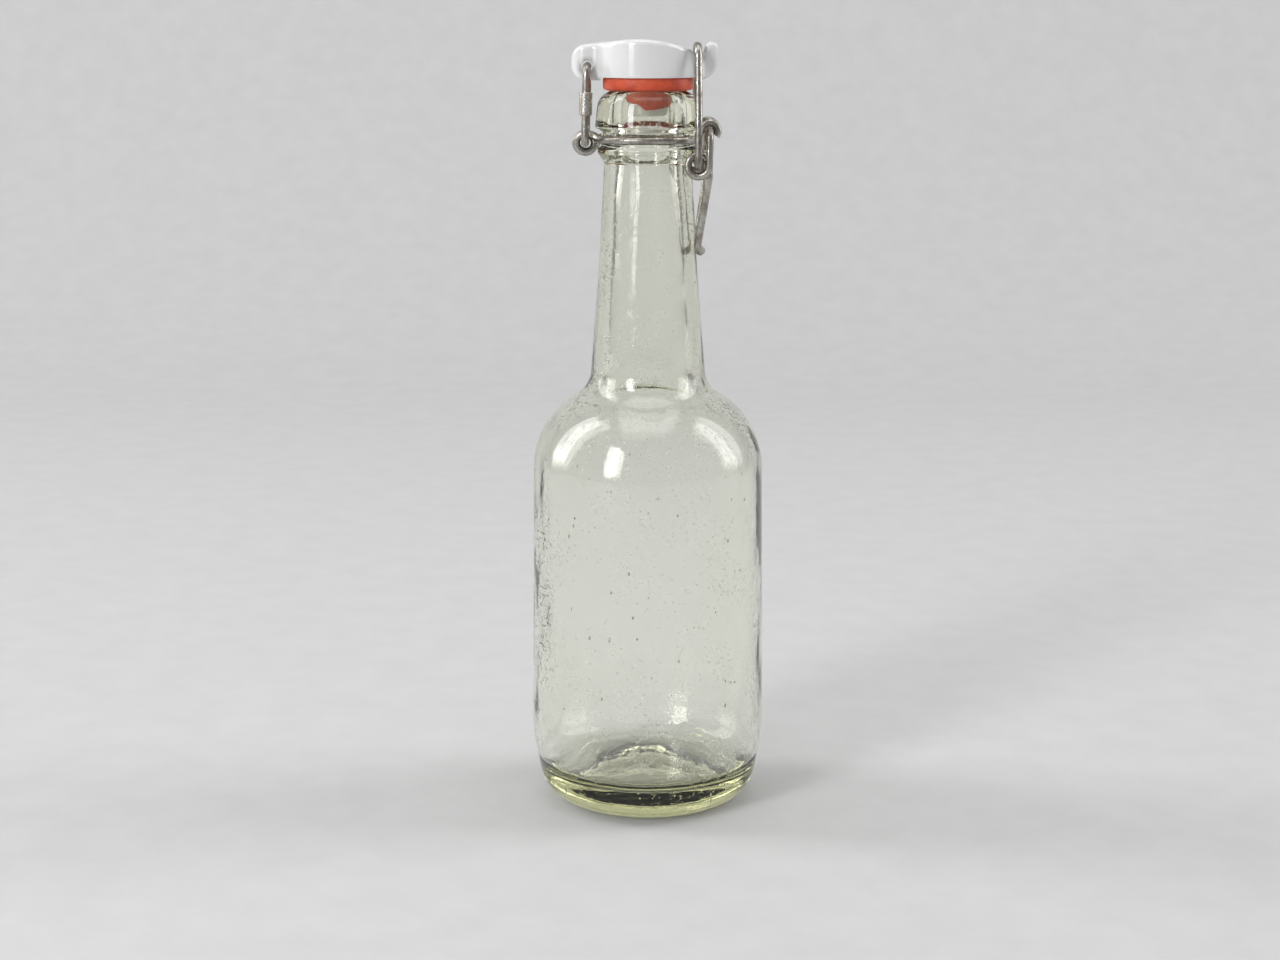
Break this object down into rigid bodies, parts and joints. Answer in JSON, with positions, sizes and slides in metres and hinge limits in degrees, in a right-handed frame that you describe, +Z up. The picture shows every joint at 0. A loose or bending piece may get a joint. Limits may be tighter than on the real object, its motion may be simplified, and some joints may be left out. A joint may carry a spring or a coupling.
{
  "type": "swing top bottle",
  "caption": "Clear glass bottle with a long tapered neck, closed by a porcelain swing stopper with a rubber washer, a wire bail and a toggle lever.",
  "frame": {"origin": "centre of the bottle's base, on the surface it stands on", "axes": "+Z up along the bottle's axis, +X towards the lever, -Y towards the viewer of the picture"},
  "size_m": [0.072, 0.072, 0.2343],
  "materials": {
    "clear_glass": "gloss",
    "steel_wire": "satin",
    "sleeve_steel": "brushed",
    "porcelain": "gloss",
    "washer_rubber": "matte"
  },
  "bodies": {
    "glass": {"bottle": "clear_glass"},
    "closure": {"neck_ring": "steel_wire", "hinge_link": "steel_wire", "link_sleeve": "sleeve_steel", "stopper": "porcelain", "sealing_washer": "washer_rubber"},
    "toggle": {"lever": "steel_wire"},
    "bail": {"closing_bail": "steel_wire"}
  },
  "joints": [
    {"name": "closure_spin", "type": "hinge", "parent": "glass", "child": "closure", "pos_m": [0, 0, 0.205], "axis": [0, 0, 1], "continuous": true},
    {"name": "lever_swing", "type": "hinge", "parent": "closure", "child": "toggle", "pos_m": [0.01808, 0, 0.2075], "axis": [0, -1, 0], "range_deg": [0, 100]},
    {"name": "bail_lean", "type": "hinge", "parent": "toggle", "child": "bail", "pos_m": [0.01478, 0, 0.1976], "axis": [0, -1, 0], "range_deg": [-75, 0]}
  ],
  "couplings": [
    {"joint": "bail_lean", "follows": "lever_swing", "ratio": -0.72}
  ]
}
